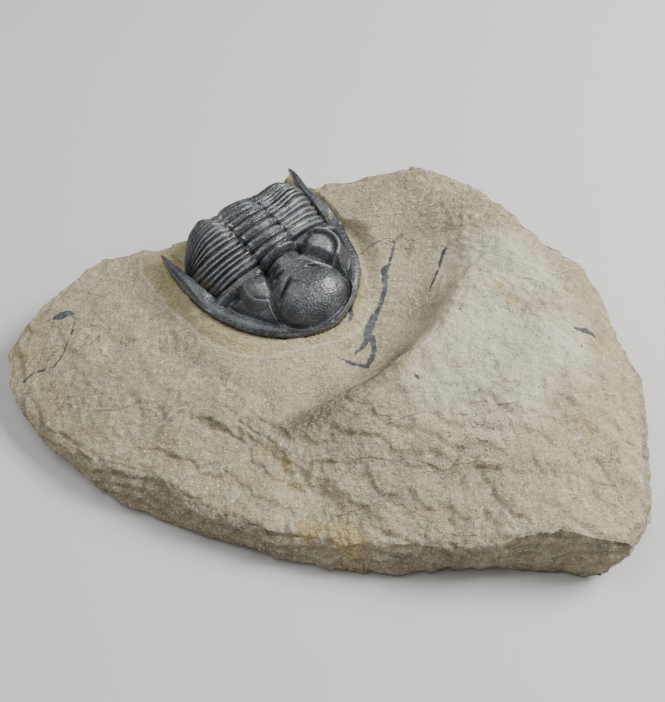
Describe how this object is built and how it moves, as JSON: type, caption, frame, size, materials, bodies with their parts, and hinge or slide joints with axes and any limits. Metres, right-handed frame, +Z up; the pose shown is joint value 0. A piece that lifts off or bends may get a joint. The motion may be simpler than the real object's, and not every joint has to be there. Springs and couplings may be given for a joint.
{
  "type": "hollardops trilobite fossil",
  "caption": "Dark trilobite fossil with big eyes and long cheek spines, draped over the back edge of a low slab of pale limestone that lies on a flat base.",
  "frame": {"origin": "middle of the flat base, under the middle of the whole specimen", "axes": "+X to the viewer's right along the slab's length, +Y away from the viewer, +Z up from the base"},
  "size_m": [0.1496, 0.102, 0.0338],
  "materials": {
    "limestone": "dull, fine-grained stone, sandy grey with ochre stains",
    "shell": "satin black-blue fossil shell"
  },
  "bodies": {
    "root": {"matrix": "limestone", "trilobite": "shell"}
  },
  "joints": []
}
